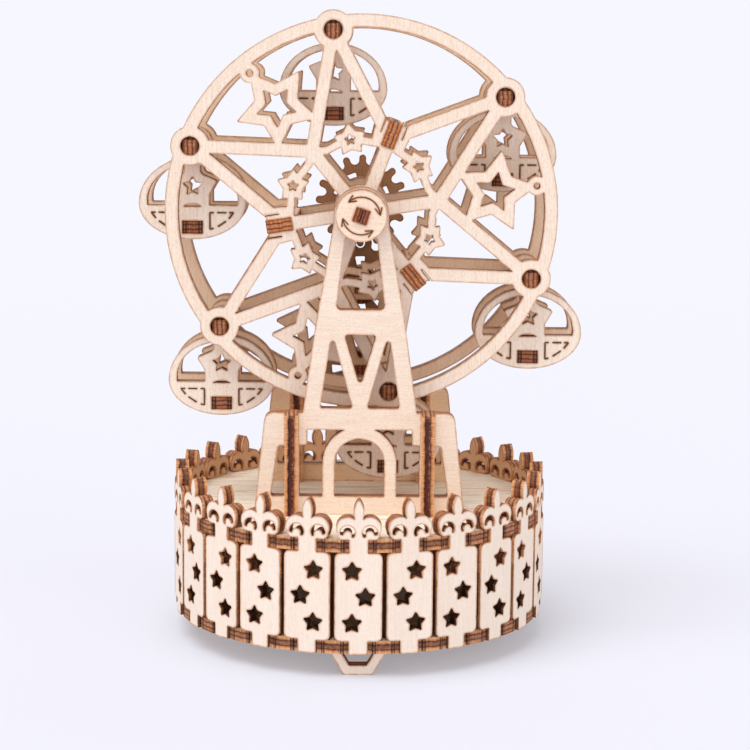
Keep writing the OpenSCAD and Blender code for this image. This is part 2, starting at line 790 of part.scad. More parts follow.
module stub_axle(z) color(wood) raised() translate([0, 0, z]) {
    upright(tower_y, cap_y + ply) square(pin_w, center = true);
    upright(tower_front_y, gear_y - face_gap) circle(washer_r);
    journal(gear_y - face_gap, cap_y);
}

// discs that hold the two lower gears on their axles
module axle_caps() color(dark_wood) raised() for (z = [axle_z[1], axle_z[2]])
    translate([0, 0, z]) upright(cap_y, cap_y + ply) difference() {
        circle(washer_r);
        square(pin_w, center = true);
    }

// gondolas

module gondola_outline_2d() {
    circle(eye_r);
    polygon(concat(oval(gondola_half, arch_rise, -gondola_wide_z, 0, 180, oval_steps),
        oval(gondola_half, bowl_drop, -gondola_wide_z, 180, 360, oval_steps)));
}

module column_2d() {
    translate([0, -column_star_z])
        polygon(rounded(star_pts(column_star_r, column_star_valley), column_star_round));
    translate([-column_half, -bowl_top_z - cut])
        square([2 * column_half, bowl_top_z - column_star_z + cut]);
    translate([-eye_r / 2, -bowl_top_z / 2]) square([eye_r, bowl_top_z / 2]);
}

module arch_opening_2d() difference() {
    intersection() {
        polygon(oval(open_half, open_rise, -open_wide_z, 0, 360, 2 * oval_steps));
        translate([-gondola_half, -bowl_top_z]) square([2 * gondola_half, bowl_top_z]);
    }
    column_2d();
}

module lens_2d() polygon(concat([[-lens_half, -lens_z]],
    [for (i = [1 : sector_steps - 1]) let (s = 2 * i / sector_steps - 1)
        [s * lens_half, lens_h * (1 - s * s) - lens_z]], [[lens_half, -lens_z]]));

module gondola_side_2d() difference() {
    gondola_outline_2d();
    arch_opening_2d();
    translate([0, -column_hole_z]) polygon(star_pts(column_hole_r, hole_valley));
    lens_2d();
    translate([-seat_tenon_w / 2, -seat_z - ply / 2]) square([seat_tenon_w, ply]);
    square(pin_w, center = true);
}

// dashed lines of one engraved panel, right of the column
module panel_2d() {
    a = [panel_x[0], -panel_z[0]];
    b = [panel_x[0], -panel_z[1]];
    c = [panel_x[1], -panel_z[0]];
    d = panel_side_dash;
    bar_2d(a, b, line_w);
    bar_2d(a, [panel_top_dash[0], a[1]], line_w);
    bar_2d([panel_top_dash[1], a[1]], [panel_top_dash[2], a[1]], line_w);
    bar_2d([panel_top_dash[3], a[1]], c, line_w);
    bar_2d(c, [d[0][0], -d[0][1]], line_w);
    bar_2d([d[1][0], -d[1][1]], [d[2][0], -d[2][1]], line_w);
    bar_2d([d[3][0], -d[3][1]], b, line_w);
}

module at_pin(k) raised() at_axle() {
    a = boss_turn + k * boss_step;
    translate([boss_ring_r * cos(a), 0, boss_ring_r * sin(a)]) children();
}

module gondola_side() difference() {
    upright(-gondola_y, ply - gondola_y) gondola_side_2d();
    upright(-gondola_y - cut, line_d - gondola_y) both_sides() panel_2d();
}

module gondola_front(k) color(wood) at_pin(k) gondola_side();

module gondola_rear(k) color(wood) at_pin(k) mirror([0, 1, 0]) gondola_side();

module gondola_seat(k) color(dark_wood) at_pin(k) translate([0, 0, -seat_z]) {
    cube([seat_tenon_w, 2 * gondola_y, ply], center = true);
    cube([seat_w, 2 * (gondola_y - ply), ply], center = true);
}

module pin_end_2d() intersection() {
    circle(pin_r);
    translate([-pin_flat_half, -pin_r]) square([2 * pin_flat_half, pin_r + pin_flat_z]);
}

module gondola_pin(k) color(wood) at_pin(k) {
    square_y = wheel_y - face_gap;
    end_y = wheel_out_y - pin_recess;
    round_y = end_y - pin_flat_l;
    upright(-square_y, square_y) square(pin_w, center = true);
    upright(-round_y, -square_y) circle(pin_r);
    upright(square_y, round_y) circle(pin_r);
    upright(-end_y, -round_y) pin_end_2d();
    upright(round_y, end_y) pin_end_2d();
}

base_disc();
deck_disc();
foot(0);  // foot_front
foot(1);  // foot_right
foot(2);  // foot_left
slats(0);  // slats_1
slats(1);  // slats_2
slats(2);  // slats_3
slats(3);  // slats_4
slats(4);  // slats_5
slats(5);  // slats_6
slats(6);  // slats_7
slats(7);  // slats_8
tower(-tower_front_y, window_foot_z, mid_tri_z[0]);  // front_tower
tower(tower_y, rear_window_foot_z, rear_mid_tri_top) stub_holes_2d();  // rear_tower
gusset(-1, -tower_mid_y);  // gusset_front_left
gusset(1, -tower_mid_y);  // gusset_front_right
gusset(-1, tower_mid_y);  // gusset_rear_left
gusset(1, tower_mid_y);  // gusset_rear_right
wheel_plate(-wheel_out_y);  // wheel_front_plate
wheel_plate(wheel_y);  // wheel_rear_plate
wheel_spacer(0);  // wheel_spacer_1
wheel_spacer(1);  // wheel_spacer_2
wheel_spacer(2);  // wheel_spacer_3
wheel_axle();
knob();
washer(face_gap - tower_y, -wheel_out_y);  // front_washer
washer(wheel_out_y, tower_y - face_gap);  // rear_washer
washer(tower_front_y + face_gap, gear_y);  // gear_washer
gear(axle_z[0], tooth_turn, gear_window_turns[0]) rod_2d(rod_w);  // wheel_gear
gear(axle_z[1], 180 - tooth_turn + tooth_step / 2, gear_window_turns[1]) circle(bore_r);  // middle_gear
gear(axle_z[2], tooth_turn, gear_window_turns[2]) circle(bore_r);  // lower_gear
stub_axle(axle_z[1]);  // middle_axle
stub_axle(axle_z[2]);  // lower_axle
axle_caps();
gondola_front(0);  // gondola_1_front
gondola_rear(0);  // gondola_1_rear
gondola_seat(0);  // gondola_1_seat
gondola_pin(0);  // gondola_1_pin
gondola_front(1);  // gondola_2_front
gondola_rear(1);  // gondola_2_rear
gondola_seat(1);  // gondola_2_seat
gondola_pin(1);  // gondola_2_pin
gondola_front(2);  // gondola_3_front
gondola_rear(2);  // gondola_3_rear
gondola_seat(2);  // gondola_3_seat
gondola_pin(2);  // gondola_3_pin
gondola_front(3);  // gondola_4_front
gondola_rear(3);  // gondola_4_rear
gondola_seat(3);  // gondola_4_seat
gondola_pin(3);  // gondola_4_pin
gondola_front(4);  // gondola_5_front
gondola_rear(4);  // gondola_5_rear
gondola_seat(4);  // gondola_5_seat
gondola_pin(4);  // gondola_5_pin
gondola_front(5);  // gondola_6_front
gondola_rear(5);  // gondola_6_rear
gondola_seat(5);  // gondola_6_seat
gondola_pin(5);  // gondola_6_pin
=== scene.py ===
"""Mechanical ferris wheel toy of laser-cut plywood: materials, floor, light and camera."""
import math

import bpy
from mathutils import Euler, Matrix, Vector


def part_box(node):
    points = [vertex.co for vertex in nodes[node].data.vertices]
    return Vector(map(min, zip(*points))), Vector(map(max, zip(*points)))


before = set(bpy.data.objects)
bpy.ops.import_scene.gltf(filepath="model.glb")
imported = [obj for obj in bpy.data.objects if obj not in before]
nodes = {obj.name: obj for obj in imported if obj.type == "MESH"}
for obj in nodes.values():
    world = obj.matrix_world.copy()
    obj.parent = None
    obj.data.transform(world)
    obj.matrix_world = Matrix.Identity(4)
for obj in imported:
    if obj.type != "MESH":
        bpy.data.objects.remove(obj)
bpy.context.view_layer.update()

# sizes in mm and angles in degrees, the same as in part.scad
MM = 0.001
PLY = 3.5                   # thickness of every sheet
BOSS_COUNT = 6              # bosses of a wheel plate, with a gondola each
BOSS_TURN = 39.17           # angle of the first gondola pin above the horizontal
SPACER_COUNT = 3
ROD_TURN = -18.0            # turn of the square wheel axle, seen from the front
SLAT_PITCH = 15.0
SLAT_RING_R = 50.9          # distance of the slats' outer faces from the drum's centre
FOOT_PITCH = 120.0
DISC_R = 50.4               # radius of the drum's discs
NECK_HALF = 2.41            # half width of a slat's neck
STEP_W = 1.4                # width of the shallow step beside a neck
SEAT_TENON_HALF = 2.8       # half width of a seat's tenon
HOLES_HALF = 5.3            # half width of the box round a slat's star holes
HOLES_HALF_H = 10.2         # half height of that box
HOLES_Z = 15.0              # height of its middle

# faces of the sheets, linear
PALE = (0.925, 0.785, 0.66)
PALE_KNOB = (0.94, 0.77, 0.62)
PALE_SLAT = (0.91, 0.785, 0.675)
PALE_SIDE = (0.96, 0.84, 0.72)          # sides of the gondolas
# tops of the drum's discs, lighter than the other faces: painted top light on the same plywood
DISC_TOP_PAINTED_LIGHT = (1.0, 0.93, 0.80)
TAN = (0.90, 0.69, 0.50)
# inner faces of the slats: the plywood's tan reverse side, darkened further with painted shade inside
# the drum
SLAT_BACK_TAN_AND_SHADE = (0.74, 0.47, 0.28)           # backs of the slats
TAN_TOWER = (0.95, 0.71, 0.48)          # front of the rear tower
# gears: the plywood's tan reverse side, darkened with painted shade where they sit behind the towers
GEAR_TAN_AND_SHADE = (0.53, 0.31, 0.165)          # gears
GROOVE = (0.14, 0.07, 0.04)             # floors of the engraved lines
FIBRE_TINT = (0.80, 0.60, 0.46)
SPECKLE_TINT = (0.80, 0.62, 0.50)
PORE_TINT = (0.62, 0.42, 0.30)
BROAD_TINT = (0.94, 0.85, 0.76)
FIGURE_TINT = (0.74, 0.50, 0.32)
HALO_TINT = (0.52, 0.26, 0.11)          # scorched rim beside a cut

# cut edges: the layers across a sheet, linear
OUTER = (0.88, 0.48, 0.22)
OUTER_INSIDE = (0.80, 0.375, 0.165)
BESIDE_GLUE = (0.52, 0.20, 0.085)
BESIDE_GLUE_BACK = (0.56, 0.22, 0.095)
GLUE = (0.14, 0.046, 0.026)
CORE_SIDE = (0.44, 0.18, 0.085)
CORE = (0.58, 0.27, 0.135)
EDGE_RAMP = (
    (0.00, OUTER), (0.14, OUTER_INSIDE), (0.23, BESIDE_GLUE), (0.28, GLUE), (0.33, GLUE),
    (0.40, CORE_SIDE), (0.50, CORE), (0.60, CORE_SIDE),
    (0.66, GLUE), (0.71, GLUE), (0.78, BESIDE_GLUE_BACK), (0.88, OUTER_INSIDE), (1.00, OUTER),
)
GRIT = (0.80, 0.47, 0.26)
STREAK_TINT = (0.42, 0.32, 0.26)
SCORCH_TINT = (0.19, 0.085, 0.075)      # dark band along the core
BURNT_TINT = (0.26, 0.11, 0.075)        # dark lines beside the faces
# colour of the marks: scorch lines, and painted shade in the axle's slits, star holes and gaps
# between slats
SCORCH_AND_SHADE_TINT = (0.16, 0.12, 0.12)

# tints of a piece's own for its cut edges, one of them darkened also with painted shade
EDGE_PLAIN = (1.0, 1.0, 1.0)
# cut edges of the seats and stub axles: partly burn, partly painted shade inside the gondolas and
# behind the towers
EDGE_BURNT_AND_SHADED = (0.74, 0.60, 0.52)
EDGE_SPACER = (1.10, 0.95, 0.76)
EDGE_AXLE = (0.66, 0.44, 0.38)
EDGE_PIN = (0.95, 0.85, 0.80)
EDGE_PALE = (1.10, 1.45, 1.80)

# noise, per mm along the grain, across it and through the sheet
FIBRE_SCALE = (0.16, 2.0, 0.6)
SPECKLE_SCALE = (1.5, 3.4, 1.0)
PORE_SCALE = (0.5, 6.0, 1.0)
BROAD_SCALE = (0.02, 0.10, 0.3)
BEND_SCALE = (0.010, 0.12, 0.3)
HALO_SCALE = (0.5, 0.5, 0.5)
WOBBLE_SCALE = (0.5, 0.5, 0.0)
STREAK_SCALE = (3.2, 3.2, 0.25)
GRIT_SCALE = (2.6, 2.6, 2.6)
RAGGED_SCALE = (0.9, 0.9, 0.4)
SCORCH_SCALE = (0.35, 0.35, 0.0)

# plywood, other values
FIGURE_WAVES = 90.0         # how often the wavy figure's lines repeat
GROOVE_FROM = 0.12          # depths in mm between which a face is an engraved line's floor
GROOVE_TO = 0.6
GROOVE_ROUGH = 0.15         # added roughness of an engraved line
HALO_REACH = 0.6            # width of the scorched rim in mm
LAYER_WOBBLE = 0.035        # how far the layers wander, as a share of the thickness
FACE_TEST = 0.7             # a surface that faces the layers more than this is a face
ROUGH_LOW, ROUGH_HIGH = 0.60, 0.72
SPECULAR = 0.3
BUMP_STRENGTH = 0.35
BUMP_DEPTH = 0.12           # in mm
STREAK_HEIGHT = 1.6
FIBRE_HEIGHT = 0.35
MARK_SHARE = 0.85
SEED_WRAP, SEED_STEP = 997, 1.7
SLAT_SHIFT = 53.7           # moves the grain in mm from one slat to the next
SLAT_CORE = 0.8
SLAT_FLECK = 0.55
DISC_FIGURE = 0.5
DISC_CORE = 0.65
TOWER_OUTLINE = 0.7
GUSSET_CORE = 1.35

# scorch marks, and painted shade in the axle's slits, the star holes and the gaps between slats, in
# mm
TONGUE_LINE_GAP = 0.6
TONGUE_LINE_HALF = 0.22
TENON_LINE_IN = 1.75
TENON_LINE_MARGIN = 0.3
TENON_LINE_HALF = 0.28
PIN_SIDE_FROM, PIN_SIDE_TO, PIN_SIDE_SHARE = 1.3, 2.0, 0.8
SLIT_R = 1.75               # the axle's slits lie inside this radius
SLIT_TOP = 0.1              # and deeper than this under its ends
HOLE_FADE = 0.3
SLAT_SIDE_MARK = 0.55       # darkness of a slat's sides against that of its holes

# floor, light and camera
BACKDROP = (0.930, 0.930, 0.998)
FLOOR = (0.715, 0.715, 0.80)
FLOOR_REACH = 6.0
SHADOW_LIFT = 0.30          # share of the plain backdrop in the floor, which lightens its shadow
FADE_FROM, FADE_TO = 0.25, 1.2          # where the floor turns into the backdrop, in metres
AMBIENT = (1.0, 0.95, 0.885)
AMBIENT_STRENGTH = 0.50
SUNLIGHT = (0.935, 0.965, 1.0)
SENSOR = 36.0
LENS = 95.48
SHIFT_X, SHIFT_Y = 0.0196, -0.0327
CAMERA_PLACE = (0.0, -0.5425, 0.1587)
CAMERA_TILT = 81.5
CAMERA_ROLL = 0.46


class Graph:
    """Adds nodes to one node tree and links them."""

    def __init__(self, tree):
        self.tree = tree
        tree.nodes.clear()

    def node(self, kind, **settings):
        made = self.tree.nodes.new(kind)
        for key, value in settings.items():
            setattr(made, key, value)
        return made

    def plug(self, socket, value):
        if isinstance(value, bpy.types.NodeSocket):
            self.tree.links.new(value, socket)
        elif isinstance(value, (tuple, list)) and socket.type == "RGBA" and len(value) == 3:
            socket.default_value = (*value, 1.0)
        else:
            socket.default_value = value

    def math(self, operation, *values):
        made = self.node("ShaderNodeMath", operation=operation)
        for socket, value in zip(made.inputs, values):
            self.plug(socket, value)
        return made.outputs[0]

    def vector(self, operation, *values):
        made = self.node("ShaderNodeVectorMath", operation=operation)
        for socket, value in zip(made.inputs, values):
            self.plug(socket, value)
        return made.outputs["Value" if operation in ("DOT_PRODUCT", "LENGTH") else "Vector"]

    def xyz(self, x, y, z):
        made = self.node("ShaderNodeCombineXYZ")
        for socket, value in zip(made.inputs, (x, y, z)):
            self.plug(socket, value)
        return made.outputs[0]

    def split(self, vector):
        made = self.node("ShaderNodeSeparateXYZ")
        self.plug(made.inputs[0], vector)
        return made.outputs

    def noise(self, vector, scale, detail=2.0):
        made = self.node("ShaderNodeTexNoise")
        self.plug(made.inputs["Vector"], self.vector("MULTIPLY", vector, scale))
        made.inputs["Scale"].default_value = 1.0
        made.inputs["Detail"].default_value = detail
        return made.outputs["Fac"]

    def span(self, value, low, high, to_low=0.0, to_high=1.0):
        """Maps a value's range to another with a smooth step, held at both ends."""
        made = self.node("ShaderNodeMapRange", interpolation_type="SMOOTHSTEP")
        for key, given in (("Value", value), ("From Min", low), ("From Max", high),
                           ("To Min", to_low), ("To Max", to_high)):
            self.plug(made.inputs[key], given)
        return made.outputs["Result"]

    def mix(self, share, a, b, blend="MIX"):
        made = self.node("ShaderNodeMix", data_type="RGBA", blend_type=blend)
        self.plug(made.inputs["Factor"], share)
        self.plug(made.inputs[6], a)
        self.plug(made.inputs[7], b)
        return made.outputs[2]

    def tint(self, share, color, by):
        return self.mix(share, color, by, "MULTIPLY")

    def ramp(self, value, stops):
        made = self.node("ShaderNodeValToRGB")
        ramp = made.color_ramp
        while len(ramp.elements) < len(stops):
            ramp.elements.new(0.5)
        for element, (place, color) in zip(ramp.elements, stops):
            element.position = place
            element.color = (*color, 1.0)
        self.plug(made.inputs["Fac"], value)
        return made.outputs["Color"]

    def seen_directly(self):
        """Is 1 for rays from the camera, also by way of gloss or glass, and 0 for the rest."""
        path = self.node("ShaderNodeLightPath").outputs
        return self.math("MAXIMUM", path["Is Camera Ray"],
                         self.math("MAXIMUM", path["Is Glossy Ray"], path["Is Transmission Ray"]))

    def surface(self, socket, output="ShaderNodeOutputMaterial"):
        self.plug(self.node(output).inputs["Surface"], socket)


def face_color(g, given, fibres, groove):
    """A sheet's face: fibres, speckle, pores, broad tint, wavy figure, engraving and scorched rim."""
    grain, fleck = given["Grain"], given["Fleck"]
    speckle = g.noise(grain, SPECKLE_SCALE)
    pores = g.noise(grain, PORE_SCALE, detail=1.0)
    broad = g.noise(grain, BROAD_SCALE)
    bend = g.noise(grain, BEND_SCALE, detail=1.0)
    wave = g.math("SINE", g.math("MULTIPLY", bend, FIGURE_WAVES))
    lines = g.math("MULTIPLY", g.span(wave, 0.35, 1.0), given["Figure"])

    color = g.mix(g.math("GREATER_THAN", given["Facing"], 0.0), given["Front"], given["Back"])
    fibre_share = g.span(fibres, 0.35, 0.75, 0.0, 0.26)
    color = g.tint(g.math("MULTIPLY", fibre_share, fleck), color, FIBRE_TINT)
    speckle_share = g.span(speckle, 0.42, 0.72, 0.0, 0.36)
    color = g.tint(g.math("MULTIPLY", speckle_share, fleck), color, SPECKLE_TINT)
    pore_share = g.span(pores, 0.58, 0.76, 0.0, 0.26)
    color = g.tint(g.math("MULTIPLY", pore_share, fleck), color, PORE_TINT)
    color = g.tint(g.span(broad, 0.35, 0.70, 0.0, 0.25), color, BROAD_TINT)
    color = g.tint(lines, color, FIGURE_TINT)
    color = g.mix(groove, color, GROOVE)

    inner = g.node("ShaderNodeAmbientOcclusion", inside=True, only_local=True, samples=6)
    inner.inputs["Distance"].default_value = HALO_REACH * MM
    rim = g.span(g.math("SUBTRACT", 1.0, inner.outputs["AO"]), 0.05, 0.42)
    patches = g.span(g.noise(grain, HALO_SCALE), 0.3, 0.7, 0.55, 1.0)
    return g.tint(g.math("MULTIPLY", rim, patches), color, HALO_TINT)


def edge_color(g, given, from_face, streak):
    """A cut edge: layers across the sheet with streaks, grit and scorch along the cut."""
    grain = given["Grain"]
    wobble = g.span(g.noise(grain, WOBBLE_SCALE), 0.3, 0.7, -LAYER_WOBBLE, LAYER_WOBBLE)
    layer = g.math("ADD", g.math("DIVIDE", given["Depth"], PLY), wobble)
    color = g.ramp(layer, EDGE_RAMP)
    color = g.tint(g.span(streak, 0.35, 0.65, 0.60, 0.0), color, STREAK_TINT)
    color = g.mix(g.span(g.noise(grain, GRIT_SCALE), 0.52, 0.75, 0.0, 0.35), color, GRIT)

    ragged = g.span(g.noise(grain, RAGGED_SCALE, detail=3.0), 0.3, 0.7, 0.40, 0.52)
    off_core = g.math("ABSOLUTE", g.math("SUBTRACT", layer, ragged))
    scorch = g.math("MULTIPLY", g.span(off_core, 0.10, 0.22, 1.0, 0.0),
                    g.span(g.noise(grain, SCORCH_SCALE), 0.3, 0.65, 0.70, 1.0))
    along_grain = g.math("MULTIPLY", g.span(given["End"], 0.45, 0.8, 1.0, 0.0), given["Core"])
    color = g.tint(g.math("MULTIPLY", scorch, along_grain), color, SCORCH_TINT)

    end_grain = g.span(given["End"], 0.45, 0.8)
    burnt = g.math("MULTIPLY", g.span(from_face, 0.15, 0.85, 0.85, 0.0),
                   g.math("MAXIMUM", end_grain, given["Outline"]))
    color = g.tint(burnt, color, BURNT_TINT)
    color = g.tint(1.0, color, given["Edge"])
    # darkens the marks: scorch lines, and painted shade in the axle's slits, star holes and gaps
    # between slats
    return g.tint(g.math("MULTIPLY", given["Marks"], MARK_SHARE), color, SCORCH_AND_SHADE_TINT)


def ply_group():
    """Colour, roughness and height of laser-cut plywood, from plate coordinates in mm."""
    tree = bpy.data.node_groups.new("laser_cut_plywood", "ShaderNodeTree")
    for name, kind in (("Depth", "Float"), ("Facing", "Float"), ("Grain", "Vector"),
                       ("Front", "Color"), ("Back", "Color"), ("Figure", "Float"),
                       ("Edge", "Color"), ("Marks", "Float"), ("End", "Float"),
                       ("Core", "Float"), ("Fleck", "Float"), ("Outline", "Float")):
        tree.interface.new_socket(name, in_out="INPUT", socket_type="NodeSocket" + kind)
    for name, kind in (("Color", "Color"), ("Roughness", "Float"), ("Height", "Float")):
        tree.interface.new_socket(name, in_out="OUTPUT", socket_type="NodeSocket" + kind)
    g = Graph(tree)
    given = g.node("NodeGroupInput").outputs
    depth, grain = given["Depth"], given["Grain"]
    from_face = g.math("MINIMUM", depth, g.math("SUBTRACT", PLY, depth))
    groove = g.math("MULTIPLY", g.math("GREATER_THAN", from_face, GROOVE_FROM),
                    g.math("LESS_THAN", from_face, GROOVE_TO))
    fibres = g.noise(grain, FIBRE_SCALE, detail=3.0)
    streak = g.noise(grain, STREAK_SCALE, detail=3.0)
    is_face = g.math("GREATER_THAN", g.math("ABSOLUTE", given["Facing"]), FACE_TEST)

    out = g.node("NodeGroupOutput").inputs
    g.plug(out["Color"], g.mix(is_face, edge_color(g, given, from_face, streak),
                               face_color(g, given, fibres, groove)))
    rough = g.span(fibres, 0.3, 0.7, ROUGH_LOW, ROUGH_HIGH)
    g.plug(out["Roughness"], g.math("ADD", rough, g.math("MULTIPLY", groove, GROOVE_ROUGH)))
    on_face = g.math("MULTIPLY", g.math("MULTIPLY", fibres, FIBRE_HEIGHT), is_face)
    on_edge = g.math("MULTIPLY", g.math("MULTIPLY", streak, STREAK_HEIGHT),
                     g.math("SUBTRACT", 1.0, is_face))
    g.plug(out["Height"], g.math("ADD", on_face, on_edge))
    return tree


PLYWOOD = ply_group()


def start_material(name):
    """A new material's graph, with the place and normal of a point of its piece."""
    material = bpy.data.materials.new(name)
    material.use_nodes = True
    g = Graph(material.node_tree)
    coords = g.node("ShaderNodeTexCoord").outputs
    return material, g, coords["Object"], coords["Normal"]


def make_shader(g, depth, facing, grain, end, front, back, figure=0.0, edge=EDGE_PLAIN, marks=0.0,
                core=1.0, fleck=1.0, outline=0.0):
    """The plywood look on its own shader."""
    ply = g.node("ShaderNodeGroup", node_tree=PLYWOOD)
    for key, value in (("Depth", depth), ("Facing", facing), ("Grain", grain),
                       ("Front", front), ("Back", back), ("Figure", figure),
                       ("Edge", edge), ("Marks", marks), ("End", end), ("Core", core),
                       ("Fleck", fleck), ("Outline", outline)):
        g.plug(ply.inputs[key], value)
    bump = g.node("ShaderNodeBump")
    bump.inputs["Strength"].default_value = BUMP_STRENGTH
    bump.inputs["Distance"].default_value = BUMP_DEPTH * MM
    g.plug(bump.inputs["Height"], ply.outputs["Height"])
    shader = g.node("ShaderNodeBsdfPrincipled")
    shader.inputs["Specular IOR Level"].default_value = SPECULAR
    g.plug(shader.inputs["Base Color"], ply.outputs["Color"])
    g.plug(shader.inputs["Roughness"], ply.outputs["Roughness"])
    g.plug(shader.inputs["Normal"], bump.outputs["Normal"])
    g.surface(shader.outputs[0])


def put_on(node, material):
    nodes[node].data.materials.clear()
    nodes[node].data.materials.append(material)


def seed_of(name):
    """A number of a piece's own, so that no two pieces show the same grain."""
    total = sum((i + 3) * ord(letter) for i, letter in enumerate(name))
    return total % SEED_WRAP * SEED_STEP


def sheet_material(node, layers, grain_dir, front, back, figure=0.0, edge=EDGE_PLAIN, marks=None,
                   core=1.0, outline=0.0):
    """Material of a flat sheet; layers is the direction from its front face to its back face."""
    material, g, place, normal = start_material("ply_" + node)
    low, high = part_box(node)
    n = Vector(layers).normalized()
    along = Vector(grain_dir).normalized()
    across = n.cross(along)
    first_face = n.dot((low + high) / 2) / MM - PLY / 2
    depth = g.math("SUBTRACT", g.vector("DOT_PRODUCT", place, tuple(n / MM)), first_face)
    facing = g.vector("DOT_PRODUCT", normal, tuple(n))
    u = g.vector("DOT_PRODUCT", place, tuple(along / MM))
    v = g.vector("DOT_PRODUCT", place, tuple(across / MM))
    end = g.math("ABSOLUTE", g.vector("DOT_PRODUCT", normal, tuple(along)))
    grain = g.xyz(g.math("ADD", u, seed_of(node)), v, g.math("ADD", depth, seed_of(node)))
    make_shader(g, depth, facing, grain, end, front, back, figure, edge,
                marks(g, place, node) if marks else 0.0, core, outline=outline)
    put_on(node, material)


def ring_material(node, pitch, ring_r, front, back, holes=False):
    """Material of upright sheets that stand in a ring and face outward; grain upright."""
    material, g, place, normal = start_material("ply_" + node)
    number, step = ring_number(g, place, pitch)
    angle = g.math("MULTIPLY", number, step)
    sine, cosine = g.math("SINE", angle), g.math("COSINE", angle)
    outward = g.xyz(sine, g.math("MULTIPLY", cosine, -1.0), 0.0)
    inward = g.vector("MULTIPLY", outward, (-1.0, -1.0, 0.0))
    sideways = g.xyz(cosine, sine, 0.0)
    radius = g.vector("DOT_PRODUCT", place, outward)
    depth = g.math("SUBTRACT", ring_r / MM, g.math("DIVIDE", radius, MM))
    facing = g.vector("DOT_PRODUCT", normal, inward)
    along = g.math("DIVIDE", g.split(place)["Z"], MM)
    across = g.math("DIVIDE", g.vector("DOT_PRODUCT", place, sideways), MM)
    shift = g.math("MULTIPLY", number, SLAT_SHIFT)
    grain = g.xyz(g.math("ADD", along, shift), g.math("ADD", across, shift),
                  g.math("ADD", depth, shift))
    end = g.math("ABSOLUTE", g.vector("DOT_PRODUCT", normal, (0.0, 0.0, 1.0)))
    marks = hole_scorch_and_shade(g, along, across) if holes else 0.0
    make_shader(g, depth, facing, grain, end, front, back, marks=marks,
                core=SLAT_CORE, fleck=SLAT_FLECK)
    put_on(node, material)


def ring_turn(g, place):
    """Angle about the drum's centre, 0 at the viewer's side and positive to the right."""
    parts = g.split(place)
    return g.math("ARCTAN2", parts["X"], g.math("MULTIPLY", parts["Y"], -1.0))


def ring_number(g, place, pitch):
    """Number of the nearest sheet in a ring, and the angle from one sheet to the next."""
    step = math.radians(pitch)
    return g.math("ROUND", g.math("DIVIDE", ring_turn(g, place), step)), step


def off_middle(g, place, node):
    """Distance in mm from the upright plane through the middle of a piece, to its left or right."""
    low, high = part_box(node)
    x = g.math("DIVIDE", g.split(place)["X"], MM)
    return g.math("ABSOLUTE", g.math("SUBTRACT", x, (low.x + high.x) / 2 / MM))


def dark_lines(g, distance, places, half_width):
    """Is 1 on each line at a given distance in mm, and 0 off them."""
    found = 0.0
    for line in places:
        off = g.math("ABSOLUTE", g.math("SUBTRACT", distance, line))
        found = g.math("MAXIMUM", found, g.span(off, half_width * 0.5, half_width * 1.5, 1.0, 0.0))
    return found


def hole_scorch_and_shade(g, along, across):
    """Darkens the insides of a slat's star holes, and more weakly its two sides: scorch of the cut,
    and painted shade in the holes and in the gaps between the slats.
    """
    beside = g.span(g.math("ABSOLUTE", across), HOLES_HALF, HOLES_HALF + HOLE_FADE,
                    1.0, SLAT_SIDE_MARK)
    level = g.span(g.math("ABSOLUTE", g.math("SUBTRACT", along, HOLES_Z)),
                   HOLES_HALF_H, HOLES_HALF_H + HOLE_FADE, 1.0, 0.0)
    return g.math("MULTIPLY", beside, level)


def tongue_marks(g, place, node):
    """Scorch lines on a disc's edge beside the necks of the slats."""
    number, step = ring_number(g, place, SLAT_PITCH)
    off = g.math("SUBTRACT", ring_turn(g, place), g.math("MULTIPLY", number, step))
    sideways = g.math("MULTIPLY", g.math("ABSOLUTE", g.math("SINE", off)), DISC_R)
    first = NECK_HALF + STEP_W
    return dark_lines(g, sideways, (first, first + TONGUE_LINE_GAP), TONGUE_LINE_HALF)


def tenon_marks(g, place, node):
    """Scorch lines near the ends of a seat's tenon."""
    return dark_lines(g, off_middle(g, place, node),
                      (TENON_LINE_IN, SEAT_TENON_HALF - TENON_LINE_MARGIN), TENON_LINE_HALF)


def pin_marks(g, place, node):
    """Scorched left and right sides of a gondola's pin."""
    return g.math("MULTIPLY", g.span(off_middle(g, place, node), PIN_SIDE_FROM, PIN_SIDE_TO),
                  PIN_SIDE_SHARE)


def slit_painted_shade(g, place, node):
    """Painted shade: the insides of the slits in the ends of the axle, darkened nearly to black as
    the shade in the deep slits.
    """
    low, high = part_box(node)
    middle = (low + high) / 2
    parts = g.split(place)
    x = g.math("SUBTRACT", parts["X"], middle.x)
    z = g.math("SUBTRACT", parts["Z"], middle.z)
    radius = g.math("SQRT", g.math("ADD", g.math("MULTIPLY", x, x), g.math("MULTIPLY", z, z)))
    y = g.math("ABSOLUTE", g.math("SUBTRACT", parts["Y"], middle.y))
    below_end = g.math("LESS_THAN", y, (high.y - low.y) / 2 - SLIT_TOP * MM)
    return g.math("MULTIPLY", below_end, g.math("LESS_THAN", radius, SLIT_R * MM))


